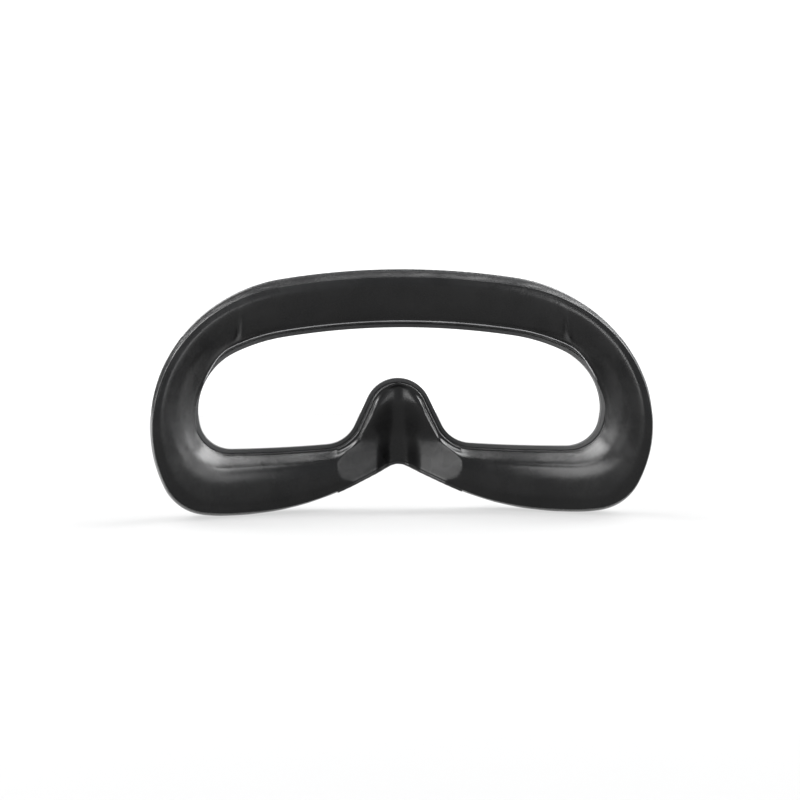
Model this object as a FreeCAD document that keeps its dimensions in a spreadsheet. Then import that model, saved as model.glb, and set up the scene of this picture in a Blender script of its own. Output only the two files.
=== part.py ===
import FreeCAD, Part

import math
import os

import Sketcher
from FreeCAD import Placement, Rotation, Vector

# Face pad for FPV goggles: a rigid carrier frame with four snap latches, and a soft cushion that
# is held on it by hook and loop. X is to the wearer's right-hand side of the view, -Y is towards
# the face, +Y is towards the goggles, and Z is up. The pad stands on the undersides of its cheeks,
# with the origin at the bottom middle of its box.

document = FreeCAD.newDocument("goggle_face_pad")
sheet = document.addObject("Spreadsheet::Sheet", "Dimensions")

# Each outline is a chain of arcs from the top middle, round the right side and to the nose.
OUTLINES = {
    "outline": [("brow", 255, 9), ("temple", 54, 25), ("side", 48.5, 81), ("jaw", 16.5, 58),
                ("cheek", 90, 31)],
    "base": [("brow", 255, 9), ("temple", 54, 25), ("side", 48.5, 81), ("jaw", 16.5, 58),
             ("cheek", 90, 23), ("nose", 34, 48.5)],
    "opening": [("brow", 265, 8.5), ("temple", 58, 17), ("side", 21.5, 77), ("jaw", 11, 76),
                ("cheek", 370, 5), ("nose", 11.5, 61)],
}

DIMENSIONS = [
    ("wrap_radius", 140, "plan radius of the goggles' face, which the pad follows"),
    ("interface_y", 17.3, "where that face crosses the middle of the pad"),
    ("crest_radius", 111, "plan radius of the cushion's crest"),
    ("brow_height", 11, "from the goggles' face to the crest, at the middle"),
    ("outline_top", 82.5, "height of the pad"),
    ("outline_bridge", 6.5, "radius over the nose at the lower edge"),
    ("base_top", 82.5, "top of the carrier"),
    ("base_bridge", 2.5, "radius of the carrier's nose relief"),
    ("opening_top", 62.5, "top of the eye opening"),
    ("opening_bridge", 11.5, "radius over the nose at the eye opening"),
    ("lip_width", 1.2, "the carrier's lip round the eye opening"),
    ("lip_front", -1.5, "front of the lip"),
    ("lip_root", 1.0, "middle of the plate, where the lip and the skirt start"),
    ("lip_gap", 0.3, "between the lip and the cushion"),
    ("plate_back", 2.0, "back of the carrier plate"),
    ("skirt_inset", 3.0, "from the outline to the stiffening skirt"),
    ("skirt_wall", 1.4, "thickness of the skirt"),
    ("skirt_back", 5.0, "back of the skirt"),
    ("gasket_start", 1.0, "from the eye opening to the light seal"),
    ("gasket_end", 3.5, "from the eye opening to the seal's outer edge"),
    ("gasket_back", 3.6, "back of the light seal"),
    ("hook_front", -0.7, "front of the hook patches"),
    ("loop_back", -1.0, "back of the loop fabric"),
    ("loop_front", -1.6, "front of the loop fabric"),
    ("board_front", -2.6, "front of the backing board"),
    ("board_inset", 2.0, "from the outline to the board"),
    ("loop_inset", 3.0, "from the outline or the cushion's edge to the loop fabric"),
    ("patch_width", 7, "width of a hook patch"),
    ("patch_length", 24, "length of a hook patch"),
    ("welt_width", 1.5, "rolled edge round the cushion"),
    ("welt_back", -0.4, "back of the rolled edge"),
    ("welt_front", -3.4, "front of the rolled edge"),
    ("seam_gap", 0.2, "room left for thread and glue"),
    ("wall_inset", 0.4, "from the outline to the foot of the side panel"),
    ("leather_thickness", 1.0, "leather with its scrim"),
    ("lining_thickness", 0.5, "matt lining of the inner wall"),
    ("flap_end", 21, "half width of the nose flap"),
    ("flap_depth", 5.1, "front of the nose flap under the eye opening, at the middle"),
    ("hem_radius", 0.65, "rolled hem under the nose flap"),
    ("post_x", 60, "half the spacing of the locating posts"),
    ("post_low_z", 11, "height of the lower posts"),
    ("post_high_z", 61, "height of the upper posts"),
    ("post_radius", 2.0, "radius of a locating post"),
    ("post_length", 6, "length of a post behind its boss"),
    ("post_lead", 0.6, "tapered tip of a post"),
    ("boss_radius", 3.5, "radius of a post's boss"),
    ("boss_back", 4.0, "flat face of the boss, behind the goggles' face"),
    ("latch_high_x", 30, "half the spacing of the upper latches"),
    ("latch_high_z", 71, "height of the upper latches"),
    ("latch_low_x", 40, "half the spacing of the lower latches"),
    ("latch_low_z", 11, "height of the lower latches"),
    ("latch_width", 8, "width of a latch"),
    ("latch_length", 9, "from a latch's root to its tip"),
    ("latch_thickness", 1.2, "thickness of a latch's arm"),
    ("latch_bead", 1.4, "radius of the bead at the root"),
    ("latch_hook", 1.2, "height of the hook"),
    ("latch_lead", 1.8, "length of the sloping tip"),
    ("latch_back", 5.0, "centre of the bead, behind the goggles' face"),
    ("socket_wall", 1.0, "wall round the latch's socket"),
    ("socket_gap", 0.2, "running clearance in the socket"),
    ("throat_half", 1.15, "half the width of the socket's mouth"),
]


def fill_sheet():
    """Write every driving dimension to the sheet, with its alias and what it means."""
    rows = [row for row in DIMENSIONS]
    for outline, arcs in OUTLINES.items():
        for name, radius, angle in arcs:
            rows.append((f"{outline}_{name}_radius", radius, f"{name} arc of the {outline}"))
            rows.append((f"{outline}_{name}_angle", angle, f"degrees turned by the {name} arc"))
    for line, (alias, number, meaning) in enumerate(rows, start=1):
        sheet.set(f"A{line}", alias)
        sheet.set(f"B{line}", str(number))
        sheet.setAlias(f"B{line}", alias)
        sheet.set(f"C{line}", meaning)
    document.recompute()


def size(alias):
    """A driving dimension as a number."""
    return float(sheet.get(alias))


fill_sheet()

PLAN_CENTRE_Y = size("interface_y") - size("wrap_radius")
END_STATION_X = size("flap_end") + size("seam_gap")
CUT_MARGIN = 1
SECTION_COUNT = 24
FOOT_SPREAD = 22.0

# The cushion's face in section: (fraction of the width, fraction of the crest's height). The
# side panel and the face panel are sewn together at the last point of the wall.
WALL_PROFILE = [(0.015, 0.55), (0.09, 0.82)]
FACE_PROFILE = [(0.33, 1.0), (0.62, 0.91), (0.84, 0.70)]
SEAM_AT = len(WALL_PROFILE)
SEAM_HALF_GAP = 0.02
INNER_EDGE_RISE = 0.48
FOAM_EDGE_RISE = 0.36
LINING_RISE = 0.44

# The nose flap from the eye opening to the hem: (fraction of the way down, fraction of the
# crest's height at the sides, how far its middle has fallen back into the nose relief).
FLAP_PROFILE = [(0.0, 0.50, 0.0), (0.3, 0.86, 0.6), (0.65, 1.0, 3.0), (1.0, 0.86, 5.1)]
FLAP_STEPS = 12
CHANNEL_FLOOR = 0.08
CHANNEL_POWER = 0.8

PATCH_PLACES = (0, 0.3, 0.58, 0.9)
POSTS = [(side * size("post_x"), size(level)) for level in ("post_low_z", "post_high_z")
         for side in (-1, 1)]
LATCHES = {f"latch_{row}_{side}": (sign * size(f"latch_{level}_x"), size(f"latch_{level}_z"), up)
           for row, level, up in (("upper", "high", 1), ("lower", "low", -1))
           for side, sign in (("left", -1), ("right", 1))}


# ---------------------------------------------------------------- outlines and curved surfaces

class Outline:
    """One closed outline, symmetric about x = 0, in the X-Z plane. Its right half is held as
    pieces of (start point, heading, length, curvature), where clockwise curvature is negative.
    Points are Vectors of (x, z, 0)."""

    def __init__(self, name, grow=0.0):
        self.pieces = []
        self.point = Vector(0, size(f"{name}_top") + grow, 0)
        self.heading = 0.0
        for arc, _, _ in OUTLINES[name]:
            radius = size(f"{name}_{arc}_radius") + grow
            turn = math.radians(size(f"{name}_{arc}_angle"))
            self.extend(radius * turn, -1 / radius)
        bridge = size(f"{name}_bridge") - grow
        climb = -self.heading - math.pi
        run = (self.point.x - bridge * math.sin(climb)) / math.cos(climb)
        self.extend(run, 0.0)
        self.extend(bridge * climb, 1 / bridge)
        self.length = sum(piece[2] for piece in self.pieces)

    def extend(self, length, curvature):
        """Add one piece at the end of the chain."""
        self.pieces.append((self.point, self.heading, length, curvature))
        self.point, self.heading = self.along(self.pieces[-1], length)

    @staticmethod
    def along(piece, distance):
        """The point and heading at a distance along one piece."""
        start, heading, _, curvature = piece
        turned = heading + curvature * distance
        if curvature == 0:
            step = Vector(math.cos(heading), math.sin(heading), 0) * distance
        else:
            step = Vector(math.sin(turned) - math.sin(heading),
                          math.cos(heading) - math.cos(turned), 0) / curvature
        return start + step, turned

    def at(self, distance):
        """The point and heading at a distance from the top middle."""
        for piece in self.pieces:
            if distance <= piece[2]:
                return self.along(piece, distance)
            distance -= piece[2]
        return self.along(self.pieces[-1], self.pieces[-1][2])

    def distance_where(self, reached):
        """The first distance at which reached(point, heading) holds, found by halving."""
        low, high = 0.0, self.length
        while high - low > 1e-6:
            middle = (low + high) / 2
            if reached(*self.at(middle)):
                high = middle
            else:
                low = middle
        return high

    def at_heading(self, heading):
        """The point where the chain has turned to a heading."""
        return self.at(self.distance_where(lambda point, turned: turned <= heading))[0]

    def under_at(self, x):
        """The point on the lower side at a given x."""
        return self.at(self.distance_where(lambda point, turned: turned < -math.pi
                                           and point.x <= x))[0]

    def spans(self):
        """Every piece of both halves as (start, middle, end, is_straight)."""
        for side in (1, -1):
            for piece in self.pieces:
                points = [self.along(piece, piece[2] * part)[0] for part in (0, 0.5, 1)]
                yield [Vector(side * p.x, p.y, 0) for p in points] + [piece[3] == 0]


class Slot:
    """A patch with straight sides and round ends, centred on a point and turned to a heading."""

    def __init__(self, centre, heading, length, width):
        self.centre = centre
        self.along = Vector(math.cos(heading), math.sin(heading), 0)
        self.across = Vector(-math.sin(heading), math.cos(heading), 0)
        self.straight = (length - width) / 2
        self.half_width = width / 2

    def spans(self):
        """The two straight sides and the two round ends."""
        for side in (1, -1):
            along = self.along * side
            across = self.across * side
            start = self.centre - along * self.straight + across * self.half_width
            corner = self.centre + along * self.straight + across * self.half_width
            tip = self.centre + along * (self.straight + self.half_width)
            far = self.centre + along * self.straight - across * self.half_width
            yield [start, (start + corner) * 0.5, corner, True]
            yield [corner, tip, far, False]


def plan_y(x, radius):
    """Y on a cylinder about the plan centre."""
    return PLAN_CENTRE_Y + math.sqrt(radius ** 2 - x ** 2)


def layer_y(x, offset):
    """Y of a layer of the stack, where offset is measured from the goggles' face."""
    return plan_y(x, size("wrap_radius") + offset)


def crest_height(x):
    """Thickness of the cushion at its crest, from the goggles' face."""
    crest_middle = size("interface_y") - size("brow_height")
    sweep = size("crest_radius") - math.sqrt(size("crest_radius") ** 2 - x ** 2)
    return layer_y(x, 0) - (crest_middle - sweep)


# ---------------------------------------------------------------- rigid rings and layers

def origin_plane(body, role):
    """One of a body's own origin planes."""
    return next(plane for plane in body.Origin.OriginFeatures if plane.Role == role)


def add_spans(sketch, shape):
    """Draw an outline or a slot in a sketch."""
    for start, middle, end, is_straight in shape.spans():
        if is_straight:
            sketch.addGeometry(Part.LineSegment(start, end))
        else:
            sketch.addGeometry(Part.Arc(start, middle, end))


def new_sketch(body, role, offset=0.0):
    """A sketch on one of a body's origin planes, moved along that plane's normal."""
    sketch = body.newObject("Sketcher::SketchObject", f"{body.Name}_{role}")
    sketch.AttachmentSupport = [(origin_plane(body, role), "")]
    sketch.MapMode = "FlatFace"
    sketch.AttachmentOffset = Placement(Vector(0, 0, offset), Rotation())
    return sketch


def draw_plan(sketch, layers):
    """Plan of a layer between two offsets: two arcs about the plan centre, closed by lines.
    Each arc's radius is bound to the sheet."""
    half_sweep = math.radians(42)
    centre = Vector(0, PLAN_CENTRE_Y, 0)
    turns = (math.pi / 2 - half_sweep, math.pi / 2 + half_sweep)
    corners = []
    for number, layer in enumerate(layers):
        radius = size("wrap_radius") + (size(layer) if layer else 0)
        circle = Part.Circle(centre, Vector(0, 0, 1), radius)
        sketch.addGeometry(Part.ArcOfCircle(circle, *turns))
        corners.append([centre + Vector(math.cos(t), math.sin(t), 0) * radius for t in turns])
    for side in (0, 1):
        sketch.addGeometry(Part.LineSegment(corners[0][side], corners[1][side]))
    for number, layer in enumerate(layers):
        radius = size("wrap_radius") + (size(layer) if layer else 0)
        constraint = sketch.addConstraint(Sketcher.Constraint("Radius", number, radius))
        binding = "Dimensions.wrap_radius" + (f" + Dimensions.{layer}" if layer else "")
        sketch.setExpression(f"Constraints[{constraint}]", binding)


def layer_body(label, back, front, shapes):
    """A piece cut from one curved layer: it lies between two offsets from the goggles' face and
    keeps what is inside an odd number of the given shapes. An offset of None is the face."""
    body = document.addObject("PartDesign::Body", label)
    body.AllowCompound = True
    plan = new_sketch(body, "XY_Plane", -CUT_MARGIN)
    draw_plan(plan, (back, front))
    pad = body.newObject("PartDesign::Pad", label + "_pad")
    pad.Profile = plan
    pad.setExpression("Length", f"Dimensions.outline_top + {2 * CUT_MARGIN}")
    trim = new_sketch(body, "XZ_Plane")
    frame = [Vector(x, z, 0) for x, z in ((-100, -10), (100, -10), (100, 100), (-100, 100))]
    for start, end in zip(frame, frame[1:] + frame[:1]):
        trim.addGeometry(Part.LineSegment(start, end))
    for shape in shapes:
        add_spans(trim, shape)
    pocket = body.newObject("PartDesign::Pocket", label + "_trim")
    pocket.Profile = trim
    pocket.Type = "ThroughAll"
    pocket.SideType = "Symmetric"
    return body


# ---------------------------------------------------------------- carrier

def fuse(label, pieces):
    """Join several objects in one."""
    joined = document.addObject("Part::MultiFuse", label)
    joined.Shapes = pieces
    return joined


def bound(kind, label, bindings, placement):
    """A Part primitive with its sizes bound to the sheet."""
    shape = document.addObject(kind, label)
    for prop, expression in bindings.items():
        shape.setExpression(prop, expression)
    shape.Placement = placement
    return shape


def locating_post(x, z, number):
    """A post on its boss, both along +Y, with a tapered tip."""
    along_y = Rotation(Vector(1, 0, 0), -90)
    face_y = layer_y(x, 0) + size("boss_back")
    boss = bound("Part::Cylinder", f"boss_{number}",
                 {"Radius": "Dimensions.boss_radius", "Height": "Dimensions.boss_back + 2"},
                 Placement(Vector(x, face_y - size("boss_back") - 2, z), along_y))
    shank = bound("Part::Cylinder", f"post_{number}",
                  {"Radius": "Dimensions.post_radius",
                   "Height": "Dimensions.post_length - Dimensions.post_lead"},
                  Placement(Vector(x, face_y, z), along_y))
    tip_y = face_y + size("post_length") - size("post_lead")
    tip = bound("Part::Cone", f"post_tip_{number}",
                {"Radius1": "Dimensions.post_radius",
                 "Radius2": "Dimensions.post_radius - Dimensions.post_lead",
                 "Height": "Dimensions.post_lead"},
                Placement(Vector(x, tip_y, z), along_y))
    return [boss, shank, tip]


def latch_root(x, z):
    """Centre of a latch's bead."""
    return Vector(x, layer_y(x, 0) + size("latch_back"), z)


def latch_socket(x, z, number):
    """A block on the back of the plate, with a round groove and a mouth for one latch."""
    root = latch_root(x, z)
    groove = size("latch_bead") + size("socket_gap")
    inside = size("latch_width") + 2 * size("socket_gap")
    outside = inside + 2 * size("socket_wall")
    half_height = groove + size("socket_wall")
    block = bound("Part::Box", f"socket_block_{number}",
                  {"Length": "Dimensions.latch_width + 2 * Dimensions.socket_gap"
                             " + 2 * Dimensions.socket_wall",
                   "Width": "Dimensions.latch_back + 2 + Dimensions.latch_bead"
                            " + Dimensions.socket_wall",
                   "Height": "2 * (Dimensions.latch_bead + Dimensions.socket_gap"
                             " + Dimensions.socket_wall)"},
                  Placement(Vector(root.x - outside / 2, root.y - size("latch_back") - 2,
                                   root.z - half_height), Rotation()))
    bore = bound("Part::Cylinder", f"socket_bore_{number}",
                 {"Radius": "Dimensions.latch_bead + Dimensions.socket_gap",
                  "Height": "Dimensions.latch_width + 2 * Dimensions.socket_gap"},
                 Placement(root - Vector(inside / 2, 0, 0), Rotation(Vector(0, 1, 0), 90)))
    mouth = bound("Part::Box", f"socket_mouth_{number}",
                  {"Length": "Dimensions.latch_width + 2 * Dimensions.socket_gap",
                   "Width": "Dimensions.latch_bead + 2 * Dimensions.socket_wall",
                   "Height": "2 * Dimensions.throat_half"},
                  Placement(root - Vector(inside / 2, 0, size("throat_half")), Rotation()))
    socket = document.addObject("Part::Cut", f"socket_{number}")
    socket.Base = block
    socket.Tool = fuse(f"socket_hollow_{number}", [bore, mouth])
    return socket


def carrier_frame():
    """Plate, lip and skirt, with the sockets, bosses and posts trimmed flush in front."""
    plate = layer_body("carrier_plate", None, "plate_back",
                       [Outline("base"), Outline("opening")])
    lip = layer_body("carrier_lip", "lip_front", "lip_root",
                     [Outline("opening", size("lip_width")), Outline("opening")])
    skirt = layer_body("carrier_skirt", "lip_root", "skirt_back",
                       [Outline("base", -size("skirt_inset")),
                        Outline("base", -size("skirt_inset") - size("skirt_wall"))])
    fittings = []
    for number, (x, z, _) in enumerate(LATCHES.values(), start=1):
        fittings.append(latch_socket(x, z, number))
    for number, (x, z) in enumerate(POSTS, start=1):
        fittings += locating_post(x, z, number)
    trimmed = document.addObject("Part::Cut", "fittings_trimmed")
    trimmed.Base = fuse("fittings", fittings)
    trimmed.Tool = bound("Part::Cylinder", "goggles_face",
                         {"Radius": "Dimensions.wrap_radius",
                          "Height": "Dimensions.outline_top"},
                         Placement(Vector(0, PLAN_CENTRE_Y, 0), Rotation()))
    return fuse("carrier_frame", [plate, lip, skirt, trimmed])


def snap_latch(label, x, z, up):
    """One latch: a round bead at the root, an arm along +Y and a hook that faces up or down."""
    root = latch_root(x, z)
    bead, half = size("latch_bead"), size("latch_thickness") / 2
    neck, tip = math.sqrt(bead ** 2 - half ** 2), size("latch_length")
    catch = tip - size("latch_lead")
    corners = [(neck, half), (catch, half), (catch, half + size("latch_hook")), (tip, half),
               (tip, -half), (neck, -half)]
    points = [Vector(root.y + y, root.z + up * rise, 0) for y, rise in corners]
    body = document.addObject("PartDesign::Body", label)
    profile = new_sketch(body, "YZ_Plane", x)
    for start, end in zip(points, points[1:]):
        profile.addGeometry(Part.LineSegment(start, end))
    back = Vector(root.y - bead, root.z, 0)
    profile.addGeometry(Part.Arc(points[-1], back, points[0]))
    pad = body.newObject("PartDesign::Pad", label + "_pad")
    pad.Profile = profile
    pad.SideType = "Symmetric"
    pad.setExpression("Length", "Dimensions.latch_width")
    return body


def hook_patches():
    """Patches of hook tape along the middle of the carrier's band, as one group."""
    outer, inner = Outline("outline"), Outline("opening")
    slots = []
    for part in PATCH_PLACES:
        distance = part * outer.distance_where(lambda point, heading: heading < -math.pi)
        edge, heading = outer.at(distance)
        middle = (edge + inner.at_heading(heading)) * 0.5
        for side in (1, -1) if part else (1,):
            centre = Vector(side * middle.x, middle.y, 0)
            slots.append(Slot(centre, side * heading, size("patch_length"),
                              size("patch_width")))
    return layer_body("hook_patches", "hook_front", None, slots)


# ---------------------------------------------------------------- cushion sections

class Station:
    """One place round the cushion, with a flat section that holds the Y direction. It runs from
    a point on the outline to the matching point on the cushion's inner edge."""

    def __init__(self, part, side):
        outer = Outline("outline")
        inner = Outline("opening", size("lip_width") + size("lip_gap"))
        under = outer.distance_where(lambda point, heading: heading < -math.pi)
        end = outer.distance_where(lambda point, heading: heading < -math.pi
                                   and point.x <= END_STATION_X)
        distance = part * end
        edge, heading = outer.at(distance)
        if distance <= under:
            inner_edge = inner.at_heading(heading)
        else:
            start_x = outer.at(under)[0].x
            along = (start_x - edge.x) / (start_x - END_STATION_X)
            inner_start_x = inner.at_heading(-math.pi).x
            inner_edge = inner.under_at(inner_start_x
                                        + along * (END_STATION_X - inner_start_x))
        self.edge = Vector(side * edge.x, 0, edge.y)
        self.across = Vector(side * inner_edge.x, 0, inner_edge.y) - self.edge
        self.width = self.across.Length
        self.across.normalize()
        foot = math.exp(-((distance - under) / FOOT_SPREAD) ** 2) if distance < under else 1.0
        self.wall = size("wall_inset") * (1 - foot)

    def on_layer(self, across, offset):
        """A point of the section on a layer of the stack."""
        point = self.edge + self.across * across
        return Vector(point.x, layer_y(point.x, offset), point.z)

    def on_rise(self, across, rise):
        """A point of the section at a fraction of the crest's height."""
        point = self.edge + self.across * across
        return Vector(point.x, layer_y(point.x, 0) - rise * crest_height(point.x), point.z)

    def face_points(self):
        """The leather's outer face, from the welt over the crest to the inner edge."""
        wall, width = self.wall, self.width
        points = [self.on_layer(wall, size("welt_front") - size("seam_gap"))]
        points += [self.on_rise(wall + part * width, rise) for part, rise in WALL_PROFILE]
        points += [self.on_rise(part * width, rise) for part, rise in FACE_PROFILE]
        points.append(self.on_rise(width - size("lining_thickness"), INNER_EDGE_RISE))
        return points

    def inward(self, points, depth):
        """Points moved into the cushion, square to the face curve in the section."""
        normal = self.across.cross(Vector(0, -1, 0))
        curve = face_curve(points)
        moved = []
        for number, point in enumerate(points):
            tangent = curve.tangent(float(number))[0]
            moved.append(point + tangent.cross(normal) * depth)
        return moved


def face_curve(points):
    """A smooth curve through points, with evenly numbered parameters so that sections match."""
    curve = Part.BSplineCurve()
    curve.interpolate(Points=points, Parameters=[float(n) for n in range(len(points))])
    return curve


def polygon_edges(points):
    """Straight edges through points."""
    return [Part.LineSegment(a, b).toShape() for a, b in zip(points, points[1:])]


def leather_panel(station, start, end):
    """Leather between two parameters of the face curve, and the same one thickness further in."""
    points = station.face_points()
    outside = face_curve(points)
    inside = face_curve(station.inward(points, size("leather_thickness")))
    outside.segment(start, end)
    inside.segment(start, end)
    inside.reverse()
    return Part.Wire([outside.toShape()] + polygon_edges([outside.EndPoint, inside.StartPoint])
                     + [inside.toShape()] + polygon_edges([inside.EndPoint, outside.StartPoint]))


def side_section(station):
    """Side panel: from the welt up to the seam along the cushion's outer edge."""
    return leather_panel(station, 0, SEAM_AT - SEAM_HALF_GAP)


def face_section(station):
    """Face panel: from that seam over the crest to the inner edge."""
    return leather_panel(station, SEAM_AT + SEAM_HALF_GAP, SEAM_AT + len(FACE_PROFILE) + 1)


def foam_section(station):
    """Foam: from the backing board up to the leather, clear of the welt and the lining."""
    gap = size("seam_gap")
    face = station.inward(station.face_points(), size("leather_thickness") + gap)
    base = size("board_front") - gap
    outer = max(station.wall, size("welt_width")) + size("leather_thickness") + gap
    inner = station.width - size("lining_thickness") - gap
    return Part.Wire([face_curve(face).toShape()]
                     + polygon_edges([face[-1], station.on_rise(inner, FOAM_EDGE_RISE),
                                      station.on_layer(inner, base),
                                      station.on_layer(outer, base), face[0]]))


def lining_section(station):
    """Lining: a thin strip on the wall towards the eyes."""
    start, end = station.width - size("lining_thickness"), station.width
    base = size("board_front") - size("seam_gap")
    corners = [station.on_layer(start, base), station.on_layer(end, base),
               station.on_rise(end, LINING_RISE), station.on_rise(start, LINING_RISE)]
    return Part.Wire(polygon_edges(corners + corners[:1]))


def welt_section(station):
    """Welt: a strip with a rounded outer side, round the edge of the backing board."""
    width, back, front = size("welt_width"), size("welt_back"), size("welt_front")
    round_start = width / 3
    back_round, front_round = (station.on_layer(round_start, level) for level in (back, front))
    crown = station.on_layer(0, (back + front) / 2)
    corners = [front_round, station.on_layer(width, front), station.on_layer(width, back),
               back_round]
    return Part.Wire([Part.Arc(back_round, crown, front_round).toShape()]
                     + polygon_edges(corners))


def horseshoe(label, section):
    """A soft piece ruled through sections from the left cheek, over the brow, to the right."""
    parts = [number / SECTION_COUNT for number in range(SECTION_COUNT + 1)]
    stations = [Station(part, -1) for part in parts[:0:-1]] + [Station(part, 1) for part in parts]
    return solid(label, Part.makeLoft([section(station) for station in stations], True, True))


def solid(label, shape):
    """A document object that holds a computed shape."""
    feature = document.addObject("Part::Feature", label)
    feature.Shape = shape
    feature.Placement = Placement()
    return feature


# ---------------------------------------------------------------- nose flap

def channel(x):
    """0 along the fold at the middle of the nose flap and 1 where it meets the cushion."""
    part = (abs(x) / size("flap_end") - CHANNEL_FLOOR) / (1 - CHANNEL_FLOOR)
    return max(part, 0.0) ** CHANNEL_POWER


def flap_curve(x, depth):
    """The flap's upright curve at x, from the eye opening down to the hem, moved back by depth."""
    inner = Outline("opening", size("lip_width") + size("lip_gap"))
    outer = Outline("outline", -2 * size("hem_radius") - size("seam_gap"))
    top, bottom = inner.under_at(abs(x)).y, outer.under_at(abs(x)).y
    points = []
    for part, side_rise, fall in FLAP_PROFILE:
        side = side_rise * crest_height(size("flap_end"))
        middle = size("flap_depth") - fall
        height = middle + (side - middle) * channel(x) - depth
        points.append(Vector(x, layer_y(x, 0) - height, top + (bottom - top) * part))
    return points


def flap_layer(label, near, far):
    """A thin curved layer of the flap, between two depths behind its face."""
    wires = []
    for number in range(-FLAP_STEPS, FLAP_STEPS + 1):
        x = size("flap_end") * number / FLAP_STEPS
        front, back = flap_curve(x, near), flap_curve(x, far)
        wires.append(Part.Wire([face_curve(front).toShape()]
                               + polygon_edges([front[-1], back[-1]])
                               + [face_curve(back[::-1]).toShape()]
                               + polygon_edges([back[0], front[0]])))
    return solid(label, Part.makeLoft(wires, True, True))


def nose_hem():
    """The rolled hem along the lower edge of the flap."""
    radius = size("hem_radius")
    outer = Outline("outline", -radius)
    wires = []
    for number in range(-FLAP_STEPS, FLAP_STEPS + 1):
        x = size("flap_end") * number / FLAP_STEPS
        middle = flap_curve(x, size("leather_thickness") / 2)[-1]
        centre = Vector(x, middle.y, outer.under_at(abs(x)).y)
        circle = Part.Circle(centre, Vector(1, 0, 0), radius)
        wires.append(Part.Wire([circle.toShape()]))
    return solid("nose_hem", Part.makeLoft(wires, True, True))


# ---------------------------------------------------------------- the parts

parts = [carrier_frame(), hook_patches()]
parts.append(layer_body("light_seal", "plate_back", "gasket_back",
                        [Outline("opening", size("gasket_end")),
                         Outline("opening", size("gasket_start"))]))
for label, (x, z, up) in LATCHES.items():
    parts.append(snap_latch(label, x, z, up))
parts.append(layer_body("loop_backing", "loop_front", "loop_back",
                        [Outline("base", -size("loop_inset")),
                         Outline("opening", size("loop_inset"))]))
parts.append(layer_body("backing_board", "board_front", "loop_front",
                        [Outline("base", -size("board_inset")),
                         Outline("opening", size("lip_width") + size("lip_gap"))]))
for label, section in (("foam_core", foam_section), ("side_leather", side_section),
                       ("face_leather", face_section), ("inner_lining", lining_section),
                       ("outer_welt", welt_section)):
    parts.append(horseshoe(label, section))
flap_back = size("leather_thickness")
liner_front = flap_back + size("seam_gap")
parts.append(flap_layer("nose_flap", 0, flap_back))
parts.append(flap_layer("nose_flap_liner", liner_front, liner_front + size("lining_thickness")))
parts.append(nose_hem())

document.recompute()

for item in document.Objects:
    if {"Invalid", "Error"} & set(item.State):
        raise RuntimeError(f"{item.Label} failed: {item.State}")

os.makedirs("parts", exist_ok=True)
for item in parts:
    if item.Shape.isNull() or not item.Shape.isValid():
        raise RuntimeError(f"{item.Label} has no valid shape")
    item.Shape.exportStep(f"parts/{item.Label}.step")
    box = item.Shape.BoundBox
    print(f"{item.Label}: {len(item.Shape.Solids)} solid(s), {item.Shape.Volume:.0f} mm3, "
          f"y {box.YMin:.2f} to {box.YMax:.2f}, z {box.ZMin:.2f} to {box.ZMax:.2f}")
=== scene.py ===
import math

import bmesh
import bpy
import numpy as np
from mathutils import Matrix, Vector


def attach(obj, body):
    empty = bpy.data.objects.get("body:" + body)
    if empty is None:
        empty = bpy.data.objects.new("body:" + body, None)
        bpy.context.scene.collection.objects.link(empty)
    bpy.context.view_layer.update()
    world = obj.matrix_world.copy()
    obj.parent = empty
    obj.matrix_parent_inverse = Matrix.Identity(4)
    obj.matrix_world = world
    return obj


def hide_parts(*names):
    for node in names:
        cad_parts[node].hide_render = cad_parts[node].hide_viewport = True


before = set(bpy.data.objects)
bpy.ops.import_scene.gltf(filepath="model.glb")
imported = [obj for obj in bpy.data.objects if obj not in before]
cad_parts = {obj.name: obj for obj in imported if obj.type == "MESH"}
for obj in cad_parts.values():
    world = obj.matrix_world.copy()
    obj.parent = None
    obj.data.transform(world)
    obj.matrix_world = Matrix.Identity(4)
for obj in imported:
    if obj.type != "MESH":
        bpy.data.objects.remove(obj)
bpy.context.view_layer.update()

# Lengths are in millimetres until a mesh is made. X is to the right, -Y is towards the face and
# Z is up. The outlines and layers are the ones that the CAD part is built on. An outline is its
# height over the middle, its radius over the nose, and its arcs as (radius, turn in degrees).
OUTLINES = {
    "outline": (82.5, 6.5, [(255, 9), (54, 25), (48.5, 81), (16.5, 58), (90, 31)]),
    "base": (82.5, 2.5, [(255, 9), (54, 25), (48.5, 81), (16.5, 58), (90, 23), (34, 48.5)]),
    "opening": (62.5, 11.5, [(265, 8.5), (58, 17), (21.5, 77), (11, 76), (370, 5), (11.5, 61)]),
}
WRAP_RADIUS = 140.0
INTERFACE_Y = 17.3
PLAN_CENTRE_Y = INTERFACE_Y - WRAP_RADIUS
CREST_RADIUS = 111.0
BROW_HEIGHT = 11.0
LIP_ROOM = 1.5
FLAP_END = 21.2
STATIONS = 330
FLAP_COLUMNS = 150
MM = 0.001

# Leather: its thickness, the radii and steps of its rolled edges, and its sharpest smooth angle.
LEATHER = 0.8
SIDE_LEATHER = 0.7
EDGE_LEATHER = 0.22
BEAD = 0.45
BEAD_STEPS = 8
# Steps of the brow's rolled inner edge that carry the painted highlight.
PAINTED_HIGHLIGHT_STEPS = 7
SEAM_BEAD = 0.42
SEAM_STEPS = 6
CURL_TURN = 150
STEEP = 80
WALL_SLOPE = 0.2
INNER_GAP = 0.5
PANEL_SMOOTH = 50

# Heights in the stack, above the face of the goggles.
BOARD_FACE = 2.8
LINING_FOOT = 2.85
WELT_MIDDLE = 1.9
WELT_TOP = 3.5


# ---------------------------------------------------------------- outlines and layers

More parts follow.
